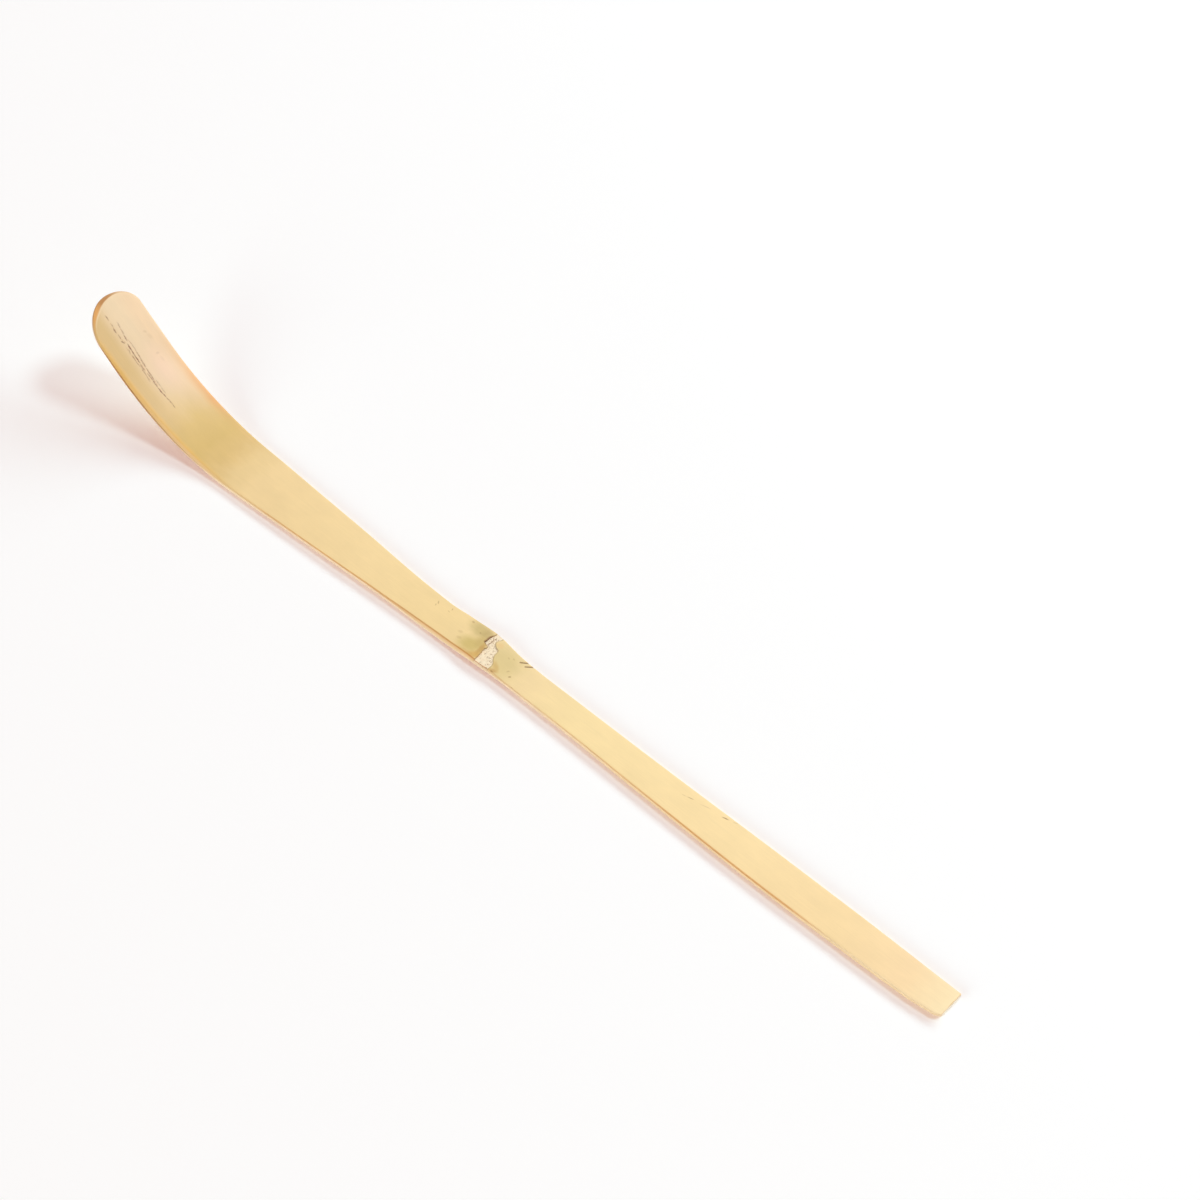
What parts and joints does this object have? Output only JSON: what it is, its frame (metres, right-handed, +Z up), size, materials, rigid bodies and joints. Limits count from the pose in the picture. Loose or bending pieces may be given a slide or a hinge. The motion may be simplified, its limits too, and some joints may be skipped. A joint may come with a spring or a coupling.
{
  "type": "bamboo tea scoop",
  "caption": "Slender scoop shaved from a strip of bamboo, with a rounded tip bent up by steam, a swollen joint in the middle and a flat handle, for lifting powdered tea.",
  "frame": {"origin": "bottom centre of the whole strip, on the table under its middle", "axes": "+X along the strip from the scoop's tip to the handle's cut end, +Y across it, +Z up, away from the table and towards the skin side that carries the tea"},
  "size_m": [0.1816, 0.0108, 0.0175],
  "materials": {
    "bamboo_skin": "satin, planed bamboo skin with fine straight fibres",
    "bamboo_node": "satin, olive-stained bamboo skin at the joint",
    "node_scar": "matt, rough planed cross fibre"
  },
  "bodies": {
    "root": {"scoop_bowl": "bamboo_skin", "blade": "bamboo_skin", "growth_node": "bamboo_node", "node_scar": "node_scar", "handle": "bamboo_skin"}
  },
  "joints": []
}
